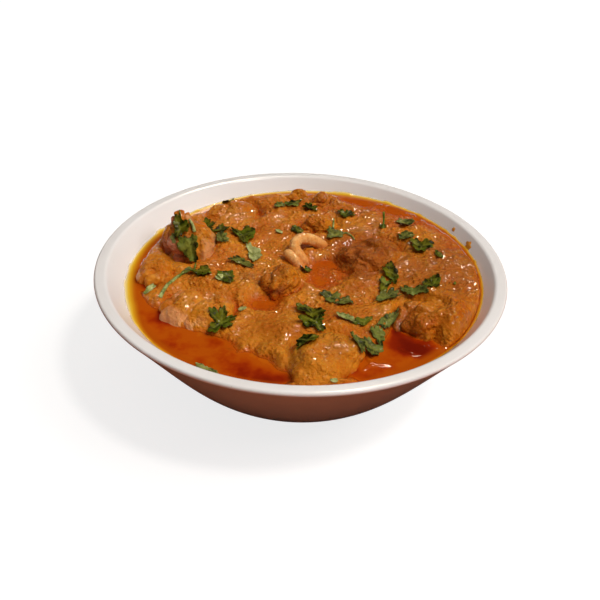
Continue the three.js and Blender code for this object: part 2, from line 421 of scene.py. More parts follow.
GRAVY = shade(211, 129, 28)
# The pale crown colour and the crease colour below are partly painted light and painted shade.
GRAVY_PALE = shade(238, 172, 70)
GRAVY_DARK = shade(194, 106, 20)
GRAVY_CREASE_SHADE = shade(176, 74, 12)
GRAVY_OILY = shade(190, 82, 8)
# Brown for the spots listed further down: partly browner meat and gravy, partly painted shade.
GRAVY_BROWN_SHADE = shade(150, 74, 18)
RIGHTWARD_DEEPENING = shade(243, 236, 205)  # dims and deepens the gravy's colour towards the right
SPICE = shade(120, 48, 10)
CURD = shade(246, 196, 120)
MEAT = shade(174, 94, 26)
MEAT_STRAND = shade(142, 68, 16)
# Pale pink for bare sides that face away from the lamps: painted light over bare meat's own purplish colour.
MEAT_PINK_LIT = shade(234, 152, 112)
MEAT_PINK_LIT_STRAND = shade(194, 118, 84)
FAT = shade(226, 160, 104)
GRISTLE = shade(236, 158, 78)
GRISTLE_PALE = shade(250, 196, 124)
GRISTLE_BEAD = shade(190, 96, 34)
GRISTLE_OILY = shade(208, 116, 40)
LEAF_DARK = shade(22, 22, 0)
LEAF_LIGHT = shade(100, 97, 12)
LEAF_VEIN = shade(148, 148, 60)
STEM_DARK = shade(76, 90, 22)
STEM_LIGHT = shade(120, 132, 48)
STEM_VEIN = shade(132, 144, 58)
# Pale leaves: partly the paler underside, partly painted sheen.
LEAF_PALE_DARK = shade(108, 118, 44)
LEAF_PALE = shade(212, 212, 142)
FRESH = (0.8, 1.04, 1.1, 1.0)  # turns olive into a fresher green
GLAZE = shade(243, 239, 236)
GLAZE_BRIGHT = shade(247, 244, 242)
PINHOLE = shade(190, 178, 164)


def gravy_group():
    """Thick yoghurt gravy with pale specks of curd, redder by the oil and deeper to the right. Its creases
    are darker and redder, partly oil pooled there and partly painted shade; the crowns of its curds are
    paler, partly their own colour and partly painted light.
    """
    inputs = {"Rise": FLOAT, "Relief": FLOAT, "Brown": FLOAT}
    outputs = {"Colour": COLOUR, "Roughness": FLOAT, "Height": FLOAT, "Wet": FLOAT}
    tree, n, entry, out = new_group("gravy", inputs, outputs)
    place = n.place()
    fine = n.noise(place, 620, 3, 0.6)
    body = n.mix(n.span(n.noise(place, 60, 3), 0.36, 0.64), GRAVY_DARK, GRAVY)
    crown = n.math("ADD", entry["Relief"], n.math("MULTIPLY_ADD", fine, 0.5, -0.24))
    # Painted shade in the creases, over the oil that pools there; painted light on the crowns, over the
    # curds' own paleness.
    body = n.mix(n.math("MULTIPLY", n.span(crown, 0.42, 0.0), 0.52), body, GRAVY_CREASE_SHADE)
    body = n.mix(n.math("MULTIPLY", n.span(crown, 0.45, 0.95), 0.5), body, GRAVY_PALE)
    spice = n.span(n.noise(place, 800, 2, 0.5), 0.68, 0.74)
    body = n.mix(n.math("MULTIPLY", spice, 0.35), body, SPICE)
    curd = n.span(n.noise(place, 560, 1, 0.4), 0.27, 0.22)
    body = n.mix(n.math("MULTIPLY", curd, 0.5), body, CURD)
    wobble = n.math("MULTIPLY_ADD", n.noise(place, 160, 2), 2.4, -1.2)
    oily = n.span(n.math("ADD", entry["Rise"], wobble), 2.0, -0.6)
    body = n.mix(n.math("MULTIPLY", oily, 0.8), body, GRAVY_OILY)
    # Browner and darker where listed: partly browner meat and gravy, partly painted shade in recesses and
    # under meat.
    body = n.mix(n.math("MULTIPLY", entry["Brown"], 0.65), body, GRAVY_BROWN_SHADE)
    across = n.add("ShaderNodeSeparateXYZ", {"Vector": place}).outputs["X"]
    body = n.mix(n.span(across, -55 * MM, 38 * MM), body, RIGHTWARD_DEEPENING, "MULTIPLY")
    n.tree.links.new(body, out.inputs["Colour"])
    n.tree.links.new(n.span(n.noise(place, 240, 2), 0.3, 0.7, 0.38, 0.56), out.inputs["Roughness"])
    grit = n.span(n.noise(place, 700, 1, 0.3), 0.4, 0.7)
    grit = n.math("MULTIPLY", grit, n.span(n.noise(place, 110, 2), 0.4, 0.62, 0.35, 1.0))
    n.tree.links.new(n.math("ADD", grit, n.noise(place, 380, 1)), out.inputs["Height"])
    n.tree.links.new(n.span(n.noise(place, 120, 2), 0.44, 0.58, 0.15, 1.0), out.inputs["Wet"])
    return tree


GRAVY_GROUP = gravy_group()
WET_SKIN = {"Specular_IOR_Level": 0.07, "Coat_Weight": 0.8, "Coat_Roughness": 0.035, "Coat_IOR": 1.4}
MATT_BUMP = 0.5 * MM
WET_BUMP = 0.35 * MM
SOFT_FLESH = {"Subsurface_Weight": 0.25, "Subsurface_Radius": (1.0, 0.4, 0.15), "Subsurface_Scale": 2.5 * MM}


def gravy_skin(nodes):
    values = {name: nodes.attribute(name.lower()) for name in ("Rise", "Relief", "Brown")}
    return use_group(nodes, GRAVY_GROUP, values)


def wet_surface(nodes):
    """The slope of the thin sauce that lies over the grains, smoother than they are."""
    return nodes.bump(nodes.noise(nodes.place(), 680, 0), WET_BUMP)


def gravy_material():
    material, n, shader = new_material("yoghurt_gravy", **WET_SKIN, **SOFT_FLESH)
    skin = gravy_skin(n)
    feed(n, shader, Base_Color=skin["Colour"], Roughness=skin["Roughness"], Coat_Weight=skin["Wet"])
    feed(n, shader, Normal=n.bump(skin["Height"], MATT_BUMP), Coat_Normal=wet_surface(n))
    return material


def mutton_material():
    """Braised meat under gravy, brown and stringy where bare. Bare sides that face away from the lamps are
    pale pink: painted light over bare meat's own purplish colour.
    """
    material, n, shader = new_material("braised_mutton", **WET_SKIN, **SOFT_FLESH)
    skin = gravy_skin(n)
    stretched = n.add("ShaderNodeMapping", {"Vector": n.place(), "Scale": (1.0, 1.0, 4.0)}).outputs[0]
    strands = n.noise(stretched, 300, 3, 0.6)
    meat = n.mix(n.span(strands, 0.3, 0.7), MEAT_STRAND, MEAT)
    # Painted light: the shaded bare side is lightened to pale pink.
    meat = n.mix(n.attribute("pink"), meat, n.mix(n.span(strands, 0.3, 0.7), MEAT_PINK_LIT_STRAND, MEAT_PINK_LIT))
    bare, fat = n.attribute("bare"), n.attribute("fat")
    colour = n.mix(n.math("MULTIPLY", fat, 0.7), n.mix(bare, skin["Colour"], meat), FAT)
    feed(n, shader, Base_Color=colour, Roughness=skin["Roughness"])
    wet = n.math("MULTIPLY", skin["Wet"], n.span(bare, 0.0, 1.0, 1.0, 0.35))
    feed(n, shader, Coat_Weight=n.math("MAXIMUM", wet, fat))
    height = n.math("ADD", skin["Height"], n.math("MULTIPLY", strands, bare))
    feed(n, shader, Normal=n.bump(height, MATT_BUMP), Coat_Normal=wet_surface(n))
    return material


OIL_DEEPEST = 7.0  # millimetres, where the oil's colour changes no more


def oil_material():
    """Chilli-red oil: yellow where thin over the white wall, orange over gravy, red where deep. Next to meat
    its depth is made greater, as painted shade.
    """
    material, n, shader = new_material("red_oil", Roughness=0.07, Specular_IOR_Level=0.22)
    depth = n.attribute("depth")
    murk = n.noise(n.place(), 85, 3, 0.55)
    cloudy = n.math("MULTIPLY_ADD", murk, 9.5, -4.9)
    specks = n.math("MULTIPLY_ADD", n.noise(n.place(), 480, 2, 0.6), 2.4, -1.2)
    uneven = n.math("MULTIPLY", specks, n.span(depth, 3.0, 0.6))
    uneven = n.math("MULTIPLY_ADD", cloudy, n.span(depth, 0.3, 1.6), uneven)
    share = n.math("DIVIDE", n.math("ADD", depth, uneven), OIL_DEEPEST)
    over_gravy = n.ramp(share, [
        (0.0, shade(190, 92, 10)),
        (0.07, shade(184, 80, 6)),
        (0.2, shade(184, 80, 5)),
        (0.38, shade(174, 64, 3)),
        (0.5, shade(160, 48, 3)),
        (0.62, shade(142, 34, 3)),
        (1.0, shade(112, 20, 3)),
    ])
    over_wall = n.ramp(n.math("DIVIDE", n.attribute("wall_depth"), OIL_DEEPEST), [
        (0.0, shade(240, 230, 212)),
        (0.1, shade(238, 212, 136)),
        (0.22, shade(232, 188, 56)),
        (0.36, shade(220, 158, 28)),
        (0.54, shade(204, 128, 20)),
        (0.78, shade(188, 96, 8)),
        (1.0, shade(178, 78, 5)),
    ])
    feed(n, shader, Base_Color=n.mix(n.attribute("over_wall"), over_gravy, over_wall))
    feed(n, shader, Alpha=n.span(depth, -0.05, 1.1))
    return material


def glaze_material():
    """White glaze, very slightly warm, with a few faint pinholes."""
    material, n, shader = new_material("white_glaze", Roughness=0.2, Specular_IOR_Level=0.4)
    place = n.place()
    cloud = n.noise(place, 22, 2)
    colour = n.mix(n.span(cloud, 0.3, 0.7), GLAZE, GLAZE_BRIGHT)
    pinholes = n.span(n.noise(place, 700, 1, 0.3), 0.78, 0.82)
    feed(n, shader, Base_Color=n.mix(n.math("MULTIPLY", pinholes, 0.25), colour, PINHOLE))
    feed(n, shader, Normal=n.bump(n.noise(place, 38, 2), 0.2 * MM))
    return material


def gristle_material():
    """Pale soft gristle with fine beads, stained by the oil low down."""
    material, n, shader = new_material("soft_gristle", **WET_SKIN)
    place = n.place()
    bands = n.noise(place, 330, 2)
    body = n.mix(n.span(bands, 0.3, 0.7), GRISTLE, GRISTLE_PALE)
    beads = n.noise(place, 1000, 2)
    body = n.mix(n.math("MULTIPLY", n.span(beads, 0.55, 0.35), 0.35), body, GRISTLE_BEAD)
    blotch = n.math("MULTIPLY_ADD", n.noise(place, 150, 2), 3.0, -1.5)
    stained = n.span(n.math("ADD", n.attribute("rise"), blotch), 5.0, 1.0)
    body = n.mix(n.math("MULTIPLY", stained, 0.75), body, GRISTLE_OILY)
    feed(n, shader, Base_Color=body, Roughness=n.span(bands, 0.3, 0.7, 0.4, 0.55))
    feed(n, shader, Normal=n.bump(beads, 0.25 * MM))
    return material


def leaf_material(name, dark, light, vein):
    """Fresh coriander, wet, olive in places and greener in others, with paler veins and pale spots of painted
    sheen. Pale leaves are partly the paler underside and partly painted sheen.
    """
    material, n, shader = new_material(name, Coat_Weight=0.08, Coat_Roughness=0.12, Specular_IOR_Level=0.03)
    place = n.place()
    tone = n.noise(place, 240, 4, 0.7)
    green = n.mix(n.span(tone, 0.39, 0.6), dark, light)
    # Pale spots mixed in as painted sheen.
    sheen_spots = n.span(n.noise(place, 130, 3), 0.6, 0.68)
    green = n.mix(n.math("MULTIPLY", sheen_spots, 0.5), green, vein)
    green = n.mix(n.span(n.noise(place, 110, 2), 0.44, 0.56), green, FRESH, "MULTIPLY")
    pale = n.mix(n.span(tone, 0.35, 0.65), LEAF_PALE_DARK, LEAF_PALE)
    colour = n.mix(n.attribute("pale"), green, pale)
    colour = n.mix(n.math("MULTIPLY", n.attribute("vein"), 0.35), colour, vein)
    feed(n, shader, Base_Color=colour, Roughness=n.span(tone, 0.3, 0.7, 0.38, 0.55))
    feed(n, shader, Normal=n.bump(n.noise(place, 900, 2), 0.2 * MM))
    return material


# ---- Bowl ----


def bezier(start, pull, push, end, steps):
    """Points on a curve and its direction at each. It leaves its start for pull and arrives from push."""
    share = np.linspace(0, 1, steps + 1)[:, None]
    rest = 1 - share
    points = rest**3 * start + 3 * rest**2 * share * pull + 3 * rest * share**2 * push + share**3 * end
    along = 3 * (rest**2 * (pull - start) + 2 * rest * share * (push - pull) + share**2 * (end - push))
    return points, along / np.linalg.norm(along, axis=1, keepdims=True)


def arc(middle, radius, start, end, steps):
    """Points on a stretch of a circle, between two angles in degrees."""
    angles = np.radians(np.linspace(start, end, steps + 1))
    return middle + radius * np.stack([np.cos(angles), np.sin(angles)], axis=1)


UP_THE_WALL = np.array([math.sin(LIP_LEAN), math.cos(LIP_LEAN)])  # radius and height, at the lip
OUT_OF_THE_WALL = np.array([math.cos(LIP_LEAN), -math.sin(LIP_LEAN)])
OUTER_ROUND = np.array([RIM_RADIUS - LIP_ROUND, BOWL_HEIGHT - LIP_ROUND])
WALL_END = OUTER_ROUND + LIP_ROUND * OUT_OF_THE_WALL


def inner_round():
    """The middle of the lip's inner rounding, which touches the wall's inside and the level of the rim."""
    middle = WALL_END + (LIP_INNER_ROUND - WALL) * OUT_OF_THE_WALL
    drop = middle[1] + LIP_INNER_ROUND - BOWL_HEIGHT
    return middle - drop / UP_THE_WALL[1] * UP_THE_WALL


INNER_ROUND = inner_round()


def wall_lines(steps=WALL_STEPS):
    """Outside and inside of the wall, as radius and height, from the foot up to the lip."""
    start = np.array([FOOT_OUTSIDE, FOOT_RISE])
    pull = np.array(BELLY_PULL)
    push = WALL_END - WALL_PULL * UP_THE_WALL
    outside, along = bezier(start, pull, push, WALL_END, steps)
    inside = outside + WALL * np.stack([-along[:, 1], along[:, 0]], axis=1)
    touch = INNER_ROUND - LIP_INNER_ROUND * OUT_OF_THE_WALL
    inside = inside[inside[:, 1] < touch[1] - 0.3 * MM]
    return outside, np.concatenate([inside, [touch]])


outer_line, inner_line = wall_lines()


def bowl_profile():
    """The bowl's whole section: foot ring, outside, lip, inside and floor."""
    edge = 0.7 * MM
    lean = math.degrees(LIP_LEAN)
    foot = [
        (0, FOOT_RISE),
        (FOOT_INSIDE - 2 * edge, FOOT_RISE),
        (FOOT_INSIDE - 0.4 * edge, FOOT_RISE - edge),
        (FOOT_INSIDE, edge),
        (FOOT_INSIDE + edge, 0),
        (FOOT_OUTSIDE - 2 * edge, 0),
        (FOOT_OUTSIDE - edge, 0.4 * edge),
        (FOOT_OUTSIDE - 0.3 * edge, 2 * edge),
    ]
    return np.concatenate([
        foot,
        outer_line,
        arc(OUTER_ROUND, LIP_ROUND, -lean, 90, 10)[1:],
        arc(INNER_ROUND, LIP_INNER_ROUND, 90, 180 - lean, 8),
        inner_line[-2::-1],
        [(0, inner_line[0][1])],
    ])


def turned(profile, sectors):
    """Points and faces of a profile swept about the vertical. The profile starts and ends on the axis."""
    angles = np.linspace(0, 2 * np.pi, sectors, endpoint=False)
    rings = profile[1:-1]
    x = rings[:, :1] * np.cos(angles)
    y = rings[:, :1] * np.sin(angles)
    z = np.repeat(rings[:, 1:], sectors, axis=1)
    points = np.stack([x.ravel(), y.ravel(), z.ravel()], axis=1)
    points = np.concatenate([points, [(0, 0, profile[0][1]), (0, 0, profile[-1][1])]])
    faces = ring_faces(len(rings), sectors)
    first, last = len(points) - 2, len(points) - 1
    top = (len(rings) - 1) * sectors
    for i in range(sectors):
        after = (i + 1) % sectors
        faces.append((first, after, i))
        faces.append((last, top + i, top + after))
    return points, faces


def make_bowl(material):
    points, faces = turned(bowl_profile(), BOWL_SECTORS)
    piece_of("bowl_white", points, faces, material, ["bowl"])


def wall_radius(height):
    """Radius of the bowl's inside at a height."""
    return np.interp(height, inner_line[:, 1], inner_line[:, 0])


def wall_height(radius):
    """Height of the bowl's inside at a radius."""
    return np.interp(radius, inner_line[:, 0], inner_line[:, 1])


# ---- Mutton ----

MEAT_CELL = 0.6 * MM
GRISTLE_CELL = 0.35 * MM
TOP_MARGIN = 1.2 * MM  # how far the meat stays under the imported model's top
# Which side of a piece shows bare meat, how much of it, and how pink it is. The pink is painted light on
# sides that face away from the lamps, over bare meat's own purplish colour.
BARE_SIDES = {
    "mutton_tall": ((-0.8, -0.6, -0.1), 0.45, 0.9),
    "mutton_centre": ((-0.3, -1.0, -0.2), 0.4, 0.2),
    "mutton_right_front": ((-1.0, -0.7, -0.4), 0.5, 0.2),
    "mutton_right_back": ((-0.2, -0.6, 0.5), 0.6, 0.0),
    "mutton_back_edge_left": ((0.0, -0.9, 0.0), 0.3, 0.1),
    "mutton_back_edge_right": ((0.0, -0.9, 0.0), 0.4, 0.1),
}
# Pieces that have sunk, and the share of their height over the oil that is left.
SETTLED = {"mutton_back_left": 0.6, "mutton_back_edge_left": 0.75}
# Which side of a piece shows smooth pale fat, and how much of it.
FAT_SIDES = {
    "mutton_tall": ((0.9, -0.5, 0.1), 0.35),
    "mutton_big_left": ((-0.4, -0.85, 0.3), 0.4),
}
# Where meat stands out of the gravy instead of being covered by it: middle and reach in millimetres.
UNCOVERED = [
    (-57, 21, 15),
    (27, 9, 14),
    (-13, -9, 9),
    (43, -42, 9),
    (-8, 77, 6),
    (9, 74, 6),
    (-57, -24, 5),
]
# Where gravy and meat are painted browner and darker, partly browner meat and gravy and partly painted shade
# in recesses and under pieces of meat: middle and reach in millimetres, and how much.
BROWN_AND_SHADE_SPOTS = [
    (33, 20, 27, 0.95),
    (30, -2, 9, 1.0),
    (-24, -6, 6, 0.8),
    (42, -43, 10, 0.9),
    (-14, -8, 10, 0.9),
    (10, 74, 16, 0.4),
    (-57, 16, 10, 0.5),
    (66, 2, 32, 0.8),
]
CALM_RELIEF = 0.66  # of gravy that lies smooth
# Where the gravy lies smooth over meat: middle, reach in millimetres, and how smooth.
SMOOTH = [
    (7, -66, 20, 0.75),
    (-45, -22, 12, 0.35),
    (-50, 22, 12, 0.3),
]


def smoothed(x, y):
    """How smooth the gravy is at each place, from 0 to 1."""
    most = np.zeros(x.shape)
    for middle_x, middle_y, reach, smooth in SMOOTH:
        away = away_from(x, y, middle_x, middle_y, reach)
        most = np.maximum(most, smooth * (1 - smoothstep(away, 0.6, 1.2)))
    return most


def brown_and_shade(points):
    """How much browner and darker than the rest each point is, from 0 to 1: partly brown meat and gravy,
    partly painted shade.
    """
    x, y = points[:, 0], points[:, 1]
    wobble = 0.25 * patches(points, 9 * MM, 2)
    most = np.zeros(len(points))
    for middle_x, middle_y, reach, amount in BROWN_AND_SHADE_SPOTS:
        away = away_from(x, y, middle_x, middle_y, reach)
        most = np.maximum(most, amount * smoothstep(1.1 - away + wobble, 0, 0.8))
    return most


def even_copy(node, cell):
    """A copy of a node's mesh, rounded and with an even fine grid of faces."""
    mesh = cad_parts[node].data.copy()
    work = bmesh.new()
    work.from_mesh(mesh)
    bmesh.ops.remove_doubles(work, verts=work.verts, dist=0.01 * MM)
    work.to_mesh(mesh)
    work.free()
    draft = bpy.data.objects.new("draft", mesh)
    scene.collection.objects.link(draft)
    rounding = draft.modifiers.new("rounding", "SUBSURF")
    rounding.levels = 2
    grid = draft.modifiers.new("grid", "REMESH")
    grid.mode = "VOXEL"
    grid.voxel_size = cell
    easing = draft.modifiers.new("easing", "SMOOTH")
    easing.iterations = 5
    made = bpy.data.meshes.new_from_object(draft.evaluated_get(bpy.context.evaluated_depsgraph_get()))
    bpy.data.objects.remove(draft)
    bpy.data.meshes.remove(mesh)
    return made


def add_shape(name, mesh, material, stands_for):
    """Makes a piece of a mesh that is already shaped."""
    mesh.shade_smooth()
    mesh.materials.clear()
    mesh.materials.append(material)
    piece = bpy.data.objects.new(name, mesh)
    scene.collection.objects.link(piece)
    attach(piece, "root")
    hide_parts(stands_for)
    return piece


def meat_values(node, points, normals):
    """What a piece's material reads: where it is bare, fat, pink (painted light), lumpy and brown (partly
    painted shade), and its height.
    """
    side, amount, pink = BARE_SIDES.get(node, ((0, 0, 1), -1.0, 0.0))
    facing = normals @ np.array(Vector(side).normalized()) + 0.6 * patches(points, 10 * MM, 2)
    bare = smoothstep(facing, 0.8 - amount, 1.2 - amount)
    fat_side, fat_amount = FAT_SIDES.get(node, ((0, 0, 1), -1.0))
    fat = normals @ np.array(Vector(fat_side).normalized()) + 0.4 * patches(points, 7 * MM, 2)
    relief = curdled(points)
    relief += (CALM_RELIEF - relief) * smoothed(points[:, 0], points[:, 1])
    lift = (points[:, 2] - level_at(points[:, 0], points[:, 1])) / MM
    bare *= smoothstep(lift + patches(points, 5 * MM), 1.0, 4.0) if pink < 0.5 else 1.0
    return {
        "bare": bare,
        "fat": smoothstep(fat, 1.0 - fat_amount, 1.3 - fat_amount),
        "pink": pink * smoothstep(facing, 1.0 - amount, 1.5 - amount),
        "relief": relief,
        "rise": lift,
        "brown": brown_and_shade(points),
    }


def make_mutton(node, material):
    """A piece of meat: lumpy and folded, curdled where gravy covers it and stringy where it is bare."""
    mesh = even_copy(node, MEAT_CELL)
    points, normals = corners_of(mesh), normals_of(mesh)
    values = meat_values(node, points, normals)
    bare, fat, relief = values["bare"], values["fat"], values["relief"]
    calm = smoothed(points[:, 0], points[:, 1])
    strands = fibres(points * np.array([0.3, 1.0, 1.0]) @ NOISE_TURN, 1.6 * MM)
    folds = np.exp(-((lumps(points + 50 * MM, 12 * MM) / 0.1) ** 2))
    push = 2.2 * lumps(points, 15 * MM) + 2.2 * lumps(points, 8 * MM, 2) - 1.6 * (1 - calm) * folds
    push += (1 - np.maximum(bare, 0.7 * fat)) * (relief - 0.4) + bare * (0.35 * strands - 0.35)
    pushed = points + normals * push[:, None] * MM
    if node in SETTLED:
        over_oil = np.maximum(pushed[:, 2] - level_at(pushed[:, 0], pushed[:, 1]), 0)
        pushed[:, 2] -= over_oil * (1 - SETTLED[node])
    pushed[:, 2] = np.minimum(pushed[:, 2], cad_bounds[1].z - TOP_MARGIN)
    set_corners(mesh, pushed)
    piece = add_shape(node + "_meat", mesh, material, node)
    for label, value in values.items():
        keep_value(piece, label, value)
    return piece


def make_gristle(node, material):
    """A smooth strip of gristle with a slightly beaded skin."""
    mesh = even_copy(node, GRISTLE_CELL)
    points, normals = corners_of(mesh), normals_of(mesh)
    push = 1.0 + 0.2 * clots(points, 2.5 * MM, 2) + 0.15 * grain(points, 1.2 * MM)
    set_corners(mesh, points + normals * push[:, None] * MM)
    piece = add_shape(node + "_strip", mesh, material, node)
    keep_value(piece, "rise", (points[:, 2] - level_at(points[:, 0], points[:, 1])) / MM)


# ---- Gravy ----

GRAVY_GRID = 300  # points across the gravy's surface
GRAVY_SIDE_RINGS = 7
BED_DEPTH = 1.7 * MM  # of the gravy under an oil pool
MOST_DRAPE = 6.5 * MM  # how far gravy climbs up a piece of meat
# Deep places under the oil: middle, spread and depth in millimetres.
HOLLOWS = [
    (-18, -77, 11, 4.5),
    (-60, -38, 5, 1.8),
    (-38, -51, 4, 1.5),
    (46, -52, 7, 5.5),
    (54, -55, 5, 4),
    (30, -70, 6, 1.8),
]
# Heaps of gravy against the meat: middle, spread and height in millimetres.
HEAPS = [
    (67, -34, 9, 8),
    (70, -46, 6, 4),
    (58, -24, 9, 6),
    (2, -46, 8, 4),
    (16, -48, 7, 4),
    (-44, -8, 8, 3),
    (12, 3, 9, 1.7),
    (24, 6, 7, 1.2),
    (4, 19, 4, 2.5),
    (60.5, -42, 7, 7),
    (-5, -66, 6, 4.5),
    (-24, -55, 4, 1.6),
    (-14, -59, 4, 1.6),
    (21, -6, 9, 1.3),
    (33, -8, 7, 1.5),
    (-24, -17, 6, 1.1),
    (38, 26, 8, 4),
    (38, 68, 9, 1.0),
    (52, 59, 9, 1.0),
    (63, 48, 8, 1.0),
    (44, 10, 7, 4),
]


def spread(values, known, radius):
    """The known values carried on into the places round them, and how much is known there."""
    weight = blur(known.astype(float), radius)
    return blur(np.where(known, values, 0.0), radius) / np.maximum(weight, 1e-9), weight


def carried_to_wall(field, edge):
    """The field with what lies just inside the wall carried on outwards."""
    held = np.minimum(1, (edge - 2 * MM) / np.maximum(field_radius, MM))
    return sample(field, (field_x * held).ravel(), (field_y * held).ravel()).reshape(field.shape)


def joined(low, high, reach):
    """The greater of two heights, with the corner between them filled in over the given reach."""
    near = np.maximum(reach - np.abs(low - high), 0) / reach
    return np.maximum(low, high) + near**2 * reach / 4


def uncovered():
    """Where meat stands out of the gravy, from 0 to 1."""
    most = np.zeros(field_x.shape)
    for x, y, reach in UNCOVERED:
        most = np.maximum(most, 1.2 - away_from(field_x, field_y, x, y, reach))
    return smoothstep(most + 0.35 * field_noise(patches, 7 * MM, 2), 0.1, 0.5)


def to_back_left():
    """From 0 to 1 towards the back left of the bowl."""
    return smoothstep((field_y - 0.6 * field_x) / np.maximum(field_radius, MM), 0.4, 1.0)


def gravy_rise(meat_top):
    """How far the gravy's surface stands above the oil all over the bowl, and its relief."""
    edge = wall_radius(field_level)
    top = heights_under(tree_of([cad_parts["gravy"]]), -1.0) - field_level
    pools = places_of(POOLS)
    known = (top > -0.1) & ~pools
    near, weight = spread(top, known, 2 * MM)
    far, _ = spread(top, known, 9 * MM)
    land = carried_to_wall(blur(np.where(weight > 0.15, near, far), 1.5 * MM), edge)

    no_meat = meat_top < field_level
    shore, _ = spread(pools.astype(float), no_meat, 3.8 * MM)
    shore = carried_to_wall(shore, edge) + 0.26 * field_noise(patches, 11 * MM, 3)
    shore += 0.14 * field_noise(clots, 4.5 * MM, 2)
    under = smoothstep(shore, 0.1, 0.9)
    rise = land * (1 - under) - BED_DEPTH * under
    for x, y, reach, height in HEAPS + [(x, y, reach, -depth) for x, y, reach, depth in HOLLOWS]:
        rise += height * MM * np.exp(-away_from(field_x, field_y, x, y, reach) ** 2)
    rise += (1 - 0.2 * under) * MM * (field_noise(lumps, 14 * MM, 2) + 0.5 * field_noise(clots, 7 * MM))

    bank, _ = spread(pools.astype(float), no_meat, 3.5 * MM)
    ashore = 1 - smoothstep(bank, 0.3, 0.75)
    push = np.clip(meat_top - field_level - rise, 0, MOST_DRAPE)
    skirt = (1 - smoothstep(bank, 0.15, 0.55)) * (0.55 * blur(push, 3.5 * MM) + 0.95 * blur(push, 8 * MM))
    meat = blur(np.minimum(meat_top - field_level, rise + 2 * MOST_DRAPE), 1.0 * MM)
    coat = 0.35 - 1.6 * uncovered() * smoothstep(meat - rise, 0, 2.5 * MM)
    rise = blur(joined(rise + skirt, meat + coat * MM, (1 + 6 * ashore) * MM), 0.7 * MM)

    relief = curdled(field_points(field_level + rise)).reshape(field_x.shape)
    dry = smoothstep(rise, -1.2 * MM, 0.8 * MM)
    rough = 0.45 + 0.55 * smoothstep(field_noise(patches, 26 * MM), -0.35, 0.3)
    rough *= 0.5 + 0.5 * dry
    calm = smoothed(field_x, field_y)
    relief += (CALM_RELIEF - relief) * calm
    rough *= 1 - calm
    rise += rough * MM * (2.2 * (relief - 0.45) + 0.1 * field_noise(grain, 1.5 * MM))

    left = smoothstep(-field_x / np.maximum(field_radius, MM), 0.0, 0.7)
    width = (3.0 + 1.6 * left + 3.0 * to_back_left() + 0.8 * field_noise(patches, 13 * MM)) * MM
    close = smoothstep(field_radius - edge, -width, -0.2 * width)
    return rise * (1 - close) + np.minimum(rise, -(3.2 + 2.2 * left) * MM) * close, relief


def disc_grid(count):
    """Points of a square grid bent into a unit disc, and its rim's indices in order."""
    line = np.linspace(-1, 1, count)
    u, v = np.meshgrid(line, line)
    x = u * np.sqrt(1 - v * v / 2)
    y = v * np.sqrt(1 - u * u / 2)
    index = np.arange(count * count).reshape(count, count)
    quads = np.stack([index[:-1, :-1], index[:-1, 1:], index[1:, 1:], index[1:, :-1]], axis=-1)
    rim = np.concatenate([index[0, :-1], index[:-1, -1], index[-1, :0:-1], index[:0:-1, 0]])
    return x.ravel(), y.ravel(), quads.reshape(-1, 4), rim


def make_gravy(rise, relief, material):
    """The gravy down to the bowl's floor. Its sides and bottom lie just inside the wall's own skin."""
    x, y, quads, rim = disc_grid(GRAVY_GRID)
    angle = np.arctan2(y, x)
    reach = wall_radius(level_at(RIM_RADIUS * np.cos(angle), RIM_RADIUS * np.sin(angle)) + 1 * MM) + INTO_WALL
    x, y = x * reach, y * reach
    lift = sample(rise, x, y)
    points = np.stack([x, y, level_at(x, y) + lift], axis=1)
    edge = points[rim]
    edge_radius = np.hypot(edge[:, 0], edge[:, 1])
    floor = inner_line[0][1] - INTO_WALL
    rings = [points]
    for share in np.linspace(0.15, 1, GRAVY_SIDE_RINGS):
        height = edge[:, 2] + (floor - edge[:, 2]) * share
        radius = wall_radius(height) + INTO_WALL
        shrink = (radius / edge_radius)[:, None]
        rings.append(np.concatenate([edge[:, :2] * shrink, height[:, None]], axis=1))
    faces = [tuple(quad) for quad in quads.tolist()]
    loops = [rim]
    loops += [len(points) + len(rim) * k + np.arange(len(rim)) for k in range(GRAVY_SIDE_RINGS)]
    for upper, lower in zip(loops, loops[1:]):
        for i in range(len(rim)):
            after = (i + 1) % len(rim)
            faces.append((upper[after], upper[i], lower[i], lower[after]))
    faces.append(tuple(loops[-1][::-1].tolist()))
    piece = piece_of("gravy_thick", np.concatenate(rings), faces, material, ["gravy"])
    buried = np.zeros(len(piece.data.vertices) - len(lift))
    keep_value(piece, "rise", np.concatenate([lift / MM, buried - 5]))
    keep_value(piece, "relief", np.concatenate([sample(relief, x, y), buried]))
    keep_value(piece, "brown", np.concatenate([brown_and_shade(points), buried]))


# Splashes of gravy up the wall: direction in degrees, then height, width and length in millimetres.
SPLASHES = [
    (18.5, 56.0, 5.0, 4.0),
    (28.7, 56.9, 1.8, 2.4),
    (20.4, 54.2, 2.0, 1.6),
]
SPLASH_GRID = 14
SPLASH_THICK = 0.5 * MM
SPLASH_INTO_WALL = 0.2 * MM


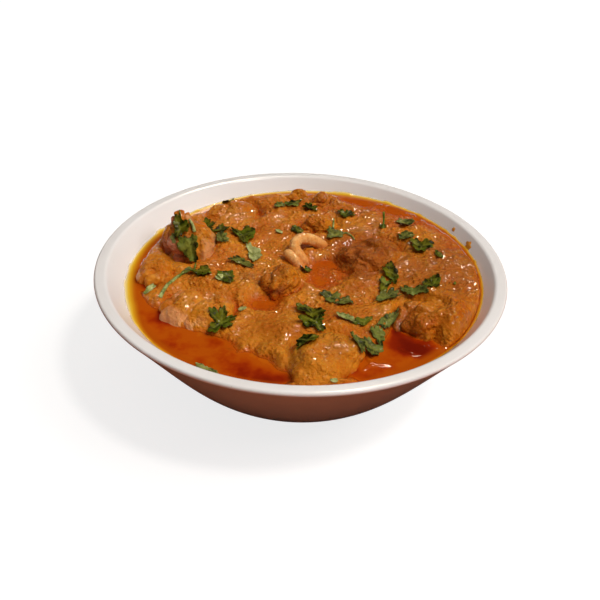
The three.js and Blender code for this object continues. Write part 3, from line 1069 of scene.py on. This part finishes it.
def make_splashes(material):
    """Small flat drops lying on the inside of the wall."""
    points, faces = [], []
    u, v, quads, rim = disc_grid(SPLASH_GRID)
    for number, (direction, height, width, length) in enumerate(SPLASHES):
        middle = wall_radius(height * MM)
        around = np.arctan2(v, u)
        ragged = 1 + 0.2 * np.sin(2 * around + number) + 0.15 * np.sin(5 * around + 2 * number)
        radius = middle + v * ragged * length * MM / 2 * UP_THE_WALL[0]
        angle = math.radians(direction) + u * ragged * width * MM / 2 / middle
        thick = SPLASH_THICK * np.sqrt(np.maximum(1 - u**2 - v**2, 0))
        first = len(points)
        for off in (thick, -SPLASH_INTO_WALL):
            reach = radius - off * OUT_OF_THE_WALL[0]
            up = wall_height(radius) - off * OUT_OF_THE_WALL[1]
            points += np.stack([reach * np.cos(angle), reach * np.sin(angle), up], axis=1).tolist()
        below = first + len(u)
        for quad in quads.tolist():
            faces.append(tuple(first + i for i in reversed(quad)))
            faces.append(tuple(below + i for i in quad))
        for a, b in zip(rim.tolist(), np.roll(rim, -1).tolist()):
            faces.append((first + a, first + b, below + b, below + a))
    piece = piece_of("gravy_splashes", points, faces, material)
    for label, value in {"rise": 3.0, "relief": 0.9, "brown": 0.0}.items():
        keep_value(piece, label, np.full(len(points), value))


# ---- Oil ----


def slab(name, keep, top, bottom, material, stands_for):
    """A closed piece over the chosen cells of the field, between two heights."""
    used = np.zeros(field_x.shape, dtype=bool)
    for dy, dx in itertools.product((0, 1), repeat=2):
        used[dy : dy + keep.shape[0], dx : dx + keep.shape[1]] |= keep
    number = np.full(field_x.shape, -1)
    number[used] = np.arange(used.sum())
    count = int(used.sum())
    flat = np.stack([field_x[used], field_y[used]], axis=1)
    points = np.concatenate([
        np.concatenate([flat, top[used][:, None]], axis=1),
        np.concatenate([flat, bottom[used][:, None]], axis=1),
    ])
    corners = [number[:-1, :-1], number[:-1, 1:], number[1:, 1:], number[1:, :-1]]
    upper = np.stack([corner[keep] for corner in corners], axis=1)
    lower = upper[:, ::-1] + count
    edges = np.concatenate([upper[:, [k, (k + 1) % 4]] for k in range(4)])
    known = {tuple(edge) for edge in edges.tolist()}
    sides = [(b, a, a + count, b + count) for a, b in known if (b, a) not in known]
    faces = upper.tolist() + lower.tolist() + sides
    piece = piece_of(name, points, faces, material, stands_for)
    return piece, used


# Where two tongues of oil meet in a raised seam, as points on the food in millimetres.
SEAMS = [
    [(28, -58), (28.8, -61.5), (30.2, -64.4), (33, -65.3), (38, -65.4)],
    [(30.2, -64.4), (29, -66.3), (27, -68)],
    [(42, -54.6), (44.7, -56.1), (48, -57.8), (51, -57.9)],
]
SEAM_HEIGHT = 0.8 * MM
SEAM_WIDTH = 0.55 * MM
OIL_CLIMB = 0.3 * MM  # up whatever the oil's edge lies against
OIL_WALL_CLIMB = 0.5 * MM  # more of it here and there on the bowl's wall
OIL_INTO_BED = 0.5 * MM
OIL_THINNEST = 0.2 * MM


def seam_rise():
    """How far the seams stand up. Each is highest in its middle."""
    rise = np.zeros(field_x.shape)
    for seam in SEAMS:
        path = np.array(seam) * MM
        fine = np.linspace(0, 1, 24 * len(path))
        x, y = (np.interp(fine, np.linspace(0, 1, len(path)), path[:, k]) for k in (0, 1))
        for share, place_x, place_y in zip(fine, x, y):
            away = np.hypot(field_x - place_x, field_y - place_y)
            height = SEAM_HEIGHT * math.sin(math.pi * (0.1 + 0.8 * share))
            rise = np.maximum(rise, height * np.exp(-((away / SEAM_WIDTH) ** 2)))
    return rise


def oil_fields(rise, meat_top):
    """The oil's surface and underside, the cells it fills, and the values that its material reads."""
    edge = wall_radius(field_level)
    wall_rise = wall_height(field_radius) - field_level
    bed = np.maximum(rise, wall_rise)
    climb = OIL_CLIMB * np.exp(-np.maximum(-bed, 0) / (0.5 * MM))
    broken = smoothstep(field_noise(patches, 8 * MM, 2), 0.0, 0.4)
    climb += OIL_WALL_CLIMB * broken * np.exp(-np.maximum(edge - field_radius, 0) / (1.0 * MM))
    surface = 0.06 * MM * field_noise(lumps, 7 * MM, 2) + climb + seam_rise()
    depth = surface - bed
    from_wall = edge - field_radius
    over_wall = 1 - smoothstep(from_wall, 2.5 * MM, 6.5 * MM)
    meat = blur((meat_top - field_level > 0).astype(float), 1.2 * MM)
    # Next to meat the oil is coloured as if deeper: painted shade where meat meets the oil.
    depth_and_shade = depth + 3.0 * MM * meat * smoothstep(depth, 0.8 * MM, 2.0 * MM)
    beside_wall = 1 - smoothstep(from_wall, 4.5 * MM, 9.5 * MM)
    beside_wall *= smoothstep(field_y / np.maximum(field_radius, MM), -0.85, -0.6)
    depth_and_shade -= beside_wall * np.maximum(depth_and_shade - 2.4 * MM, 0)
    pools = places_of(POOLS)
    outside = 1 - smoothstep(blur(pools.astype(float), 2.2 * MM), 0.35, 0.95)
    depth_and_shade *= 1 - smoothstep(from_wall, 25 * MM, 40 * MM) * outside
    right = smoothstep(field_x / np.maximum(field_radius, MM), 0.2, 1.0)
    front = smoothstep(-field_y / np.maximum(field_radius, MM), 0.3, 0.65)
    back_left = to_back_left()
    # The film's colour deepens towards the right, partly as painted shade where the wall is turned from the
    # lamps, and towards the front.
    wall_depth = (surface - wall_rise) * (0.65 + 2.1 * right + 1.6 * front + 0.5 * back_left)
    wet = (depth > -0.35 * MM) & (meat < 0.98) & (field_radius < wall_radius(field_level + MM) + INTO_WALL)
    cells = wet[:-1, :-1] & wet[1:, :-1] & wet[:-1, 1:] & wet[1:, 1:]
    top = field_level + surface
    bottom = field_level + np.minimum(bed - OIL_INTO_BED, surface - OIL_THINNEST)
    values = {"depth": depth_and_shade / MM, "wall_depth": wall_depth / MM, "over_wall": over_wall}
    return top, bottom, cells, values


def make_oil(rise, meat_top, material):
    """One piece for each pool, and one for the film in every other low place. Returns the surface."""
    top, bottom, cells, values = oil_fields(rise, meat_top)
    taken = np.zeros(cells.shape, dtype=bool)
    for node in POOLS + [None]:
        if node:
            spot = blur(places_of([node]).astype(float), 3 * MM)
            own = cells & (spot[:-1, :-1] > 0.04) & ~taken
        else:
            own = cells & ~taken
        taken |= own
        name = node + "_pool" if node else "oil_film"
        piece, used = slab(name, own, top, bottom, material, [node] if node else [])
        for label, value in values.items():
            keep_value(piece, label, np.tile(value[used], 2))
        piece.visible_shadow = False
    return top


# ---- Coriander ----

LEAF_THICK = 0.22 * MM
LEAF_SECTORS = 96
LEAF_RINGS = (0.22, 0.42, 0.6, 0.76, 0.9, 1.0)
LEAF_SEED = 500
LEAF_LIFT = 0.45 * MM  # over the food, so that folds don't dip under it
LEAF_STEEPEST = 1.3  # most rise for each millimetre along, however steep the food is
LEAF_FULL_CRUMPLE = 4 * MM  # mean half size from which a leaf is crumpled in full
VEIN_WIDTH = 0.35  # in millimetres, to each side
# How each kind of leaf is cut: lobes and how deep they part, teeth on each lobe and how deep they are.
LEAF_FORMS = {
    "fan": (3, 0.5, 4, 0.24),
    "star": (5, 0.55, 3, 0.22),
    "strip": (4, 0.45, 3, 0.3),
    "scrap": (2, 0.4, 4, 0.25),
    "round": (3, 0.28, 5, 0.16),
}

# Leaves: place on the food, half length and half width in millimetres, turn in degrees, kind,
# and how pale, which is partly the paler underside and partly painted sheen.
LEAVES = [
    (-58.5, 20.5, 8.5, 4.4, -76, "fan", 0.0),
    (-53, 11.5, 8.5, 4.8, -65, "fan", 0.05),
    (-57, 12.5, 3.6, 2.3, -60, "scrap", 1.0),
    (-61.5, 16, 4, 1.5, -68, "strip", 0.3),
    (-48.5, 38, 6.2, 5, -54, "star", 0.0),
    (-41, 36, 5, 4, 39, "fan", 0.0),
    (-39.5, 26, 6.5, 3.4, -47, "strip", 0.15),
    (-29, 31, 11, 5.2, -70, "fan", 0.0),
    (-23.5, 16, 9, 3.8, -69, "fan", 0.75),
    (-28.5, 6.5, 9, 2.8, -42, "strip", 0.1),
    (-45.5, -5, 7, 4.8, -36, "fan", 0.0),
    (-53.5, -2, 3.8, 2.6, 46, "scrap", 0.1),
    (-35, -7.5, 6, 4.4, -50, "scrap", 0.0),
    (-37.5, -10.5, 2.8, 2.2, -40, "scrap", 1.0),
    (-34, -40, 7.4, 7.4, -12, "star", 0.0),
    (-69, -16, 3.8, 2.1, 41, "scrap", 0.9),
    (-40, 65.5, 4.2, 3.2, -15, "fan", 0.1),
    (-12.5, 60.5, 3, 4.6, -21, "fan", 0.1),
    (-4.5, 63.5, 4, 4.8, -33, "fan", 0.0),
    (4, 59, 5.8, 2.8, -33, "strip", 0.0),
    (-3, 39.5, 4, 4.2, -14, "fan", 0.0),
    (-11.5, 36, 2.5, 1.8, -34, "scrap", 0.9),
    (15.5, 34, 4.5, 5.4, -12, "fan", 0.15),
    (22.5, 55, 6, 4.2, -30, "strip", 0.0),
    (41, 43.5, 2.6, 2, -90, "scrap", 0.0),
    (52, 48, 4.6, 4.8, -26, "fan", 0.2),
    (51, 33, 4.7, 5.2, 1, "fan", 0.1),
    (58.5, 23, 8, 5.4, -58, "fan", 0.0),
    (66.5, 15.5, 2.8, 2.1, -38, "scrap", 0.0),
    (41.5, -1, 9.2, 4.2, -80, "fan", 0.0),
    (39, -21.5, 7.6, 3.6, 20, "strip", 0.1),
    (38.5, -11.5, 5.4, 3.4, 70, "fan", 0.0),
    (50.5, -17.5, 7.5, 4.4, -48, "fan", 0.1),
    (60.3, -12.5, 8.6, 3.9, 84, "round", 0.0),
    (13.5, -19.5, 4.9, 4.6, -41, "fan", 0.1),
    (20.5, -23, 4.5, 4, -10, "fan", 0.1),
    (5.5, -32.5, 7.9, 5.7, -59, "fan", 0.0),
    (6.5, -44.5, 7.4, 5.4, -66, "fan", 0.0),
    (20, -38, 4.8, 2.8, -37, "scrap", 0.55),
    (28, -40, 4.8, 2.8, 40, "fan", 0.0),
    (38, -38, 7.4, 3.6, 57, "fan", 0.15),
    (34, -47.5, 7.6, 3, -80, "strip", 0.1),
    (23.5, -57, 6.4, 3.3, -69, "round", 0.1),
    (31.5, -56, 5.7, 4.2, -28, "fan", 0.1),
    (4, -60.5, 6.4, 4.4, 30, "round", 0.0),
    (-37.5, -69.8, 5.2, 2, -21, "strip", 0.3),
    (2.5, 4, 3.8, 2.7, -60, "scrap", 0.0),
    (-25.5, -30, 2.2, 1.9, 25, "scrap", 0.8),
    (71, -8.5, 0.9, 0.9, 0, "scrap", 0.0),
    (14.5, -78.5, 1.8, 1, 12, "scrap", 0.6),
]

# Stems: radius in millimetres, how pale, and points on the food with their height over it.
STEMS = [
    (0.75, 0.8, [(-55, 26, 0.4), (-53.2, 21.5, 0.9), (-51.4, 17, 0.3)]),
    (0.4, 0.1, [(-50.2, 5.5, 0.3), (-49.9, 2, 0.5), (-50.2, -3, 0.3)]),
    (0.8, 0.55, [
        (-54.5, -3, 0.3),
        (-57.5, -7.5, 0.6),
        (-60.5, -12.5, 0.5),
        (-62.3, -17.5, 0.5),
        (-63.2, -22, 0.2),
    ]),
    (0.45, 0.5, [(16, 51, 0.3), (15.8, 46, 0.8), (15.4, 38, 0.3)]),
    (0.4, 0.7, [(18.5, 33, 0.2), (22, 35, 0.8), (26, 30.5, 0.3)]),
    (0.5, 0.0, [(40.8, 42, 0.1), (41.2, 45.5, 3.5), (41, 48, 7.0)]),
    (0.4, 0.2, [(-60.3, 31, 1.2), (-59.6, 27, 0.5), (-59, 22, 0.3)]),
]


def leaf_edge(form, angles, random):
    """How far the leaf's edge is from its middle in each direction, as a share of its half size."""
    lobes, parting, teeth, bite = LEAF_FORMS[form]
    turn = random.uniform(0, 2 * np.pi)
    bent = angles - turn + 0.25 * np.sin(angles + random.uniform(0, 6.3))
    edge = 1 - parting * (1 - abs(np.cos(lobes * bent / 2)) ** 0.6)
    edge *= 1 - bite * (1 - abs(np.cos(lobes * teeth * bent / 2)) ** 0.7)
    for waves in (1, 2, 3):
        edge *= 1 + 0.12 * np.cos(waves * angles + random.uniform(0, 6.3))
    return edge, turn, lobes


def slope_of(field):
    """How steeply a field rises along x and along y."""
    slope_y, slope_x = np.gradient(field, CELL)
    return slope_x, slope_y


def leaf_shape(leaf, number, cover, slopes):
    """One leaf lying on the food, as the points of its upper and lower skin and its values."""
    x, y, half_length, half_width, turn, form, pale = leaf
    random = np.random.default_rng(LEAF_SEED + number)
    angles = np.linspace(0, 2 * np.pi, LEAF_SECTORS, endpoint=False)
    edge, lobe_turn, lobes = leaf_edge(form, angles, random)
    share = np.array(LEAF_RINGS)[:, None]
    u = (share * edge * np.cos(angles)).ravel()
    v = (share * edge * np.sin(angles)).ravel()
    u, v = np.append(u, 0.0), np.append(v, 0.0)
    size = math.sqrt(half_length * half_width) * MM
    fold = random.uniform(0.12, 0.4) * abs(v + random.uniform(-0.2, 0.2))
    curl = random.uniform(-0.05, 0.22) * u**2 + random.uniform(-0.1, 0.1) * u
    wave = 0.07 * np.sin(3 * np.arctan2(v, u) + random.uniform(0, 6.3)) * (u**2 + v**2)
    spot = np.stack([u * half_length, v * half_width, np.full(len(u), 9.0 * number)], axis=1) * MM
    crumple = 0.9 * clots(spot, 3.6 * MM, 2) + 0.25 * grain(spot, 1.5 * MM)
    crumple = np.minimum(1, size / LEAF_FULL_CRUMPLE) * crumple
    lift = LEAF_LIFT + size * (fold + curl + wave) + crumple * MM

    place = np.array([x, y]) * MM
    gx, gy = (
        float(np.clip(sample(slope, place[:1], place[1:])[0], -LEAF_STEEPEST, LEAF_STEEPEST))
        for slope in slopes
    )
    up = Vector((-gx, -gy, 1)).normalized()
    angle = math.radians(turn)
    climb = gx * math.cos(angle) + gy * math.sin(angle)
    along = Vector((math.cos(angle), math.sin(angle), climb)).normalized()
    across = up.cross(along)
    middle = np.array([*place, sample(cover, place[:1], place[1:])[0]])
    flat = middle + np.outer(u * half_length * MM, along) + np.outer(v * half_width * MM, across)
    under = sample(cover, flat[:, 0], flat[:, 1])
    points = flat.copy()
    points[:, 2] = np.maximum(0.4 * flat[:, 2] + 0.6 * under, under)
    points += np.outer(lift, up)

    direction = np.arctan2(v, u) - lobe_turn
    step = 2 * np.pi / lobes
    off = np.abs((direction + step / 2) % step - step / 2) * np.hypot(u, v) * size / MM
    vein = np.exp(-((off / VEIN_WIDTH) ** 2)) * smoothstep(-np.hypot(u, v), -0.95, -0.6)
    skin = np.array(up) * LEAF_THICK / 2
    return points + skin, points - skin, np.full(len(u), float(pale)), vein


def leaf_faces(count):
    """Faces of one leaf: its upper skin, its lower skin and the edge between them."""
    upper = [tuple(reversed(face)) for face in ring_faces(len(LEAF_RINGS), LEAF_SECTORS)]
    middle = count - 1
    upper += [(middle, i, (i + 1) % LEAF_SECTORS) for i in range(LEAF_SECTORS)]
    rim = (len(LEAF_RINGS) - 1) * LEAF_SECTORS
    faces = []
    for face in upper:
        faces.append(face)
        faces.append(tuple(i + count for i in reversed(face)))
    for i in range(LEAF_SECTORS):
        a, b = rim + i, rim + (i + 1) % LEAF_SECTORS
        faces.append((b, a, a + count, b + count))
    return faces


def make_leaves(cover, material):
    """All the torn leaves, as one piece."""
    slopes = slope_of(blur(cover, 2.5 * MM))
    points, faces, pale, vein = [], [], [], []
    for number, leaf in enumerate(LEAVES):
        upper, lower, paleness, veins = leaf_shape(leaf, number, cover, slopes)
        first = sum(len(part) for part in points)
        faces += [tuple(first + i for i in face) for face in leaf_faces(len(upper))]
        points += [upper, lower]
        pale += [paleness, paleness]
        vein += [veins, veins]
    piece = piece_of("coriander_leaves", np.concatenate(points), faces, material)
    keep_value(piece, "pale", np.concatenate(pale))
    keep_value(piece, "vein", np.concatenate(vein))


STEM_SIDES = 10
STEM_STEPS = 10  # for each point that is listed
STEM_EASINGS = 12


def stem_line(points, cover):
    """A stem's middle line laid over the food, with a point about every half millimetre."""
    path = np.array(points, dtype=float)
    marks = np.arange(len(path))
    fine = np.linspace(0, len(path) - 1, STEM_STEPS * len(path))
    x, y, lift = (np.interp(fine, marks, path[:, k]) * MM for k in range(3))
    ease = np.array([0.25, 0.5, 0.25])
    for _ in range(STEM_EASINGS):
        for line in (x, y, lift):
            line[1:-1] = np.convolve(line, ease, mode="valid")
    return np.stack([x, y, sample(cover, x, y) + lift], axis=1)


def make_stems(cover, material):
    """All the stems, as one piece: round, a little thicker towards one end and closed at both."""
    points, faces, pale = [], [], []
    angles = np.linspace(0, 2 * np.pi, STEM_SIDES, endpoint=False)
    for radius, paleness, path in STEMS:
        line = stem_line(path, cover)
        along = np.gradient(line, axis=0)
        along /= np.linalg.norm(along, axis=1, keepdims=True)
        side = np.cross(along, (0.1, 0.2, 1.0))
        side /= np.linalg.norm(side, axis=1, keepdims=True)
        over = np.cross(side, along)
        girth = radius * MM * (0.85 + 0.3 * np.linspace(0, 1, len(line)))
        girth[[0, -1]] *= 0.6
        rings = line[:, None] + girth[:, None, None] * (
            side[:, None] * np.cos(angles)[None, :, None] + over[:, None] * np.sin(angles)[None, :, None]
        )
        first = len(points)
        faces += [tuple(first + i for i in face) for face in ring_faces(len(line), STEM_SIDES)]
        last = first + (len(line) - 1) * STEM_SIDES
        faces.append(tuple(first + i for i in reversed(range(STEM_SIDES))))
        faces.append(tuple(last + i for i in range(STEM_SIDES)))
        points += rings.reshape(-1, 3).tolist()
        pale += [paleness] * (len(line) * STEM_SIDES)
    piece = piece_of("coriander_stems", points, faces, material)
    keep_value(piece, "pale", pale)
    keep_value(piece, "vein", np.zeros(len(points)))


# ---- Camera, light and stage ----

VIEW_DISTANCE = 4.5 * RIM_RADIUS  # from the middle of the rim
VIEW_ELEVATION = math.radians(31.65)
VIEW_TILT = math.radians(33.99)  # how far the camera looks down
VIEW_ROLL = math.radians(1.9)
VIEW_LENS = 54.97


def make_camera():
    data = bpy.data.cameras.new("view")
    data.lens = VIEW_LENS
    camera = bpy.data.objects.new("view", data)
    back = VIEW_DISTANCE * math.cos(VIEW_ELEVATION)
    up = VIEW_DISTANCE * math.sin(VIEW_ELEVATION)
    place = Matrix.Translation((0, -back, BOWL_HEIGHT + up))
    tilt = Matrix.Rotation(math.pi / 2 - VIEW_TILT, 4, "X")
    camera.matrix_world = place @ tilt @ Matrix.Rotation(VIEW_ROLL, 4, "Z")
    scene.collection.objects.link(camera)
    scene.camera = camera


LAMP_DISTANCE = 3.0
WARM_WHITE = (1.0, 0.96, 0.92)


def add_light(name, direction, size, power, colour):
    """A round lamp, its size and power given as they would be at one metre from the bowl."""
    data = bpy.data.lights.new(name, "AREA")
    data.shape = "DISK"
    data.size = size * LAMP_DISTANCE
    data.energy = power * LAMP_DISTANCE**2
    data.color = colour
    lamp = bpy.data.objects.new(name, data)
    lamp.location = LAMP_DISTANCE * Vector(direction).normalized()
    lamp.rotation_euler = lamp.location.to_track_quat("Z", "Y").to_euler()
    scene.collection.objects.link(lamp)
    return lamp


def make_lights():
    add_light("key", (0.36, -0.3, 0.88), 0.14, 3.7, WARM_WHITE)
    second = add_light("second", (0.66, -0.1, 0.745), 0.6, 4.5, WARM_WHITE)
    second.visible_glossy = False
    sparkle = add_light("sparkle", (0.13, 0.5, 0.85), 0.14, 6.5, (1.0, 0.88, 0.66))
    sparkle.visible_diffuse = False


def stage_plane(name, size, height, glow=0.0):
    """A level square, its nodes and its shader. glow lightens it, shadows and all."""
    half = size / 2
    corners = [(-half, -half, height), (half, -half, height), (half, half, height), (-half, half, height)]
    mesh = bpy.data.meshes.new(name)
    mesh.from_pydata(corners, [], [(0, 1, 2, 3)])
    material, n, shader = new_material(name, Roughness=0.7, Specular_IOR_Level=0.1, Emission_Strength=glow)
    shader.inputs["Emission Color"].default_value = (1, 1, 1, 1)
    mesh.materials.append(material)
    plane = bpy.data.objects.new(name, mesh)
    scene.collection.objects.link(plane)
    return plane, n, shader


FLOOR_SIZE = 6.0
FLOOR_GLOW = 0.78
FLOOR = shade(170, 169, 168)
FLOOR_DARKER = (*(0.985 * light for light in FLOOR[:3]), 1.0)
BOARD_SIZE = 1.6
BOARD_UNDER_FLOOR = 0.4 * MM
# The board's dark middle is a painted shadow of the bowl.
BOARD_PAINTED_SHADOW = shade(14, 2, 6)
BOARD = shade(184, 98, 60)
BOARD_SHADOW_REACH = 56 * MM
BOARD_FULL_REACH = 190 * MM


def make_stage():
    """A pale floor that only the camera sees, and under it a warm brown board that it doesn't see."""
    floor, n, shader = stage_plane("floor", FLOOR_SIZE, 0.0, FLOOR_GLOW)
    tone = n.noise(n.place(), 3, 2)
    feed(n, shader, Base_Color=n.mix(n.span(tone, 0.3, 0.7), FLOOR, FLOOR_DARKER))
    floor.visible_diffuse = False
    floor.visible_glossy = False
    floor.visible_shadow = False
    board, n, shader = stage_plane("warm_board", BOARD_SIZE, -BOARD_UNDER_FLOOR)
    board.visible_camera = False
    # Painted shadow: the board is dark under the bowl, so the lower outside of the bowl, which sees it, comes
    # out darker.
    outwards = n.add("ShaderNodeVectorMath", {0: n.place()}, operation="LENGTH").outputs["Value"]
    shadowed_board = n.mix(n.span(outwards, BOARD_SHADOW_REACH, BOARD_FULL_REACH), BOARD_PAINTED_SHADOW, BOARD)
    feed(n, shader, Base_Color=shadowed_board)


DOME_DARK = (0, 0, 0, 1)
DOME = (0.26, 0.247, 0.234, 1)
BACKDROP = (0.96, 0.96, 0.96, 1)
REFLECTED_DOME = (0.03, 0.028, 0.026, 1)


def make_world():
    """Pale where the camera looks past the floor. For light it is dim, and dark near the horizon."""
    world = bpy.data.worlds.new("studio")
    scene.world = world
    world.use_nodes = True
    n = Nodes(world.node_tree)
    background = world.node_tree.nodes["Background"]
    rays = n.add("ShaderNodeLightPath").outputs
    direction = n.add("ShaderNodeTexCoord").outputs["Generated"]
    up = n.add("ShaderNodeSeparateXYZ", {"Vector": direction}).outputs["Z"]
    dome = n.mix(n.span(up, 0.1, 0.6), DOME_DARK, DOME)
    colour = n.mix(rays["Is Camera Ray"], dome, BACKDROP)
    colour = n.mix(rays["Is Glossy Ray"], colour, REFLECTED_DOME)
    world.node_tree.links.new(colour, background.inputs["Color"])


# ---- The dish ----

make_camera()
make_lights()
make_stage()
make_world()
scene.view_settings.view_transform = "Standard"

make_bowl(glaze_material())
meat_finish = mutton_material()
meat = [make_mutton(node, meat_finish) for node in MUTTON]
gristle_finish = gristle_material()
for node in ("gristle_curl", "gristle_tip"):
    make_gristle(node, gristle_finish)
meat_top = heights_under(tree_of(meat), 0.0)
rise, relief = gravy_rise(meat_top)
gravy_finish = gravy_material()
make_gravy(rise, relief, gravy_finish)
make_splashes(gravy_finish)
oil_top = make_oil(rise, meat_top, oil_material())
food_top = np.maximum(np.maximum(meat_top, field_level + rise), oil_top)
# The surface that leaves and stems lie on: the food's own, eased.
cover = np.maximum(blur(food_top, 1.2 * MM), food_top - 0.5 * MM)
make_leaves(cover, leaf_material("coriander_leaf", LEAF_DARK, LEAF_LIGHT, LEAF_VEIN))
make_stems(cover, leaf_material("coriander_stem", STEM_DARK, STEM_LIGHT, STEM_VEIN))
